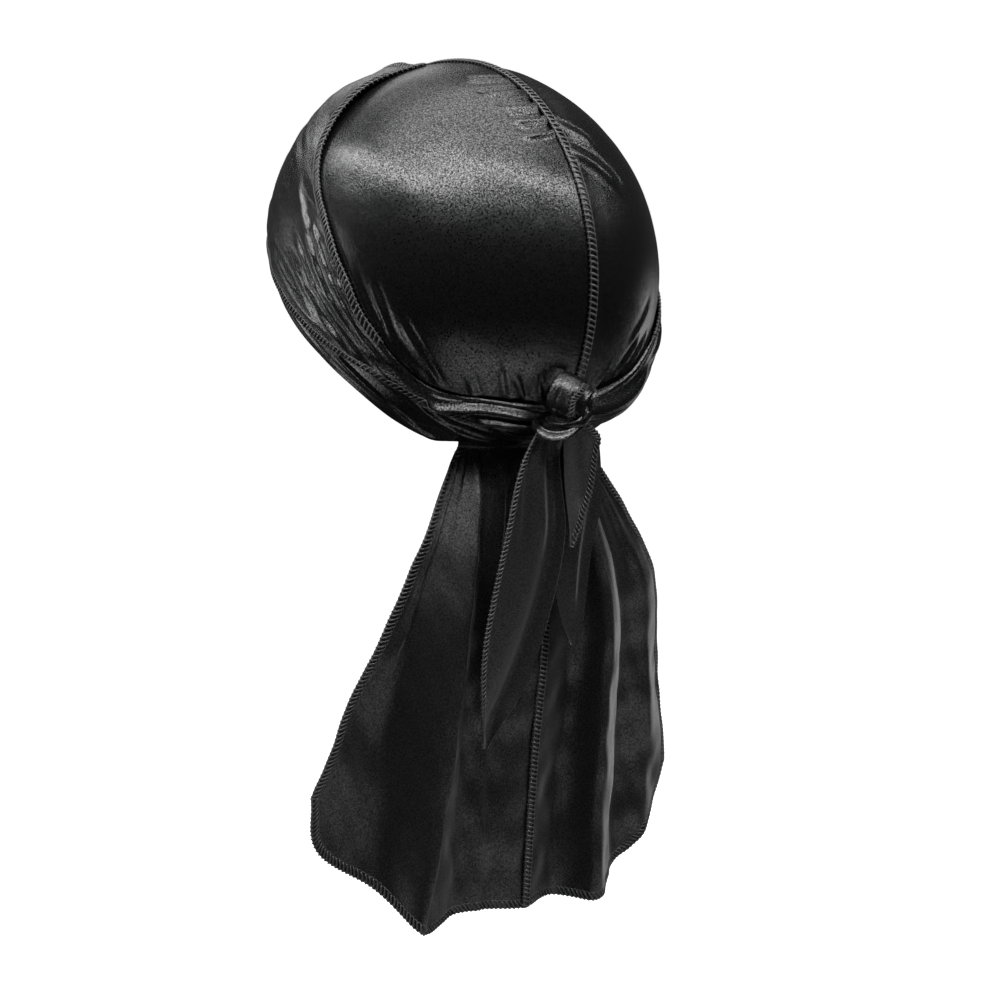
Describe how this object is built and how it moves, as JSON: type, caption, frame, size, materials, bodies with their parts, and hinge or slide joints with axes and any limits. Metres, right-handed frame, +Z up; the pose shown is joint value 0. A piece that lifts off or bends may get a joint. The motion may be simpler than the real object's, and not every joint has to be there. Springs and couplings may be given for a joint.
{
  "type": "tied satin durag",
  "caption": "Close-fitting satin head covering with a raised centre seam, wide straps wrapped round the head and knotted at the nape, and a long gathered cape.",
  "frame": {"origin": "Middle of the head hollow, at the level where the head is widest, where the head that wears it sits.", "axes": "+Z up along the head, +Y towards the back of the head where the knot and the cape are, +X towards the wearer's left."},
  "size_m": [0.2132, 0.2144, 0.3804],
  "materials": {
    "satin": "black polyester satin, soft sheen",
    "thread": "black overlock thread"
  },
  "bodies": {
    "root": {"crown_left": "satin", "crown_right": "satin", "nape_wrap": "satin", "left_wrap": "satin", "right_wrap": "satin", "cape_left": "satin", "cape_right": "satin", "knot_core": "satin", "knot_band": "satin", "knot_loop": "satin", "long_tail": "satin", "short_tail": "satin", "crown_seam": "thread", "cape_seam": "thread"}
  },
  "joints": []
}
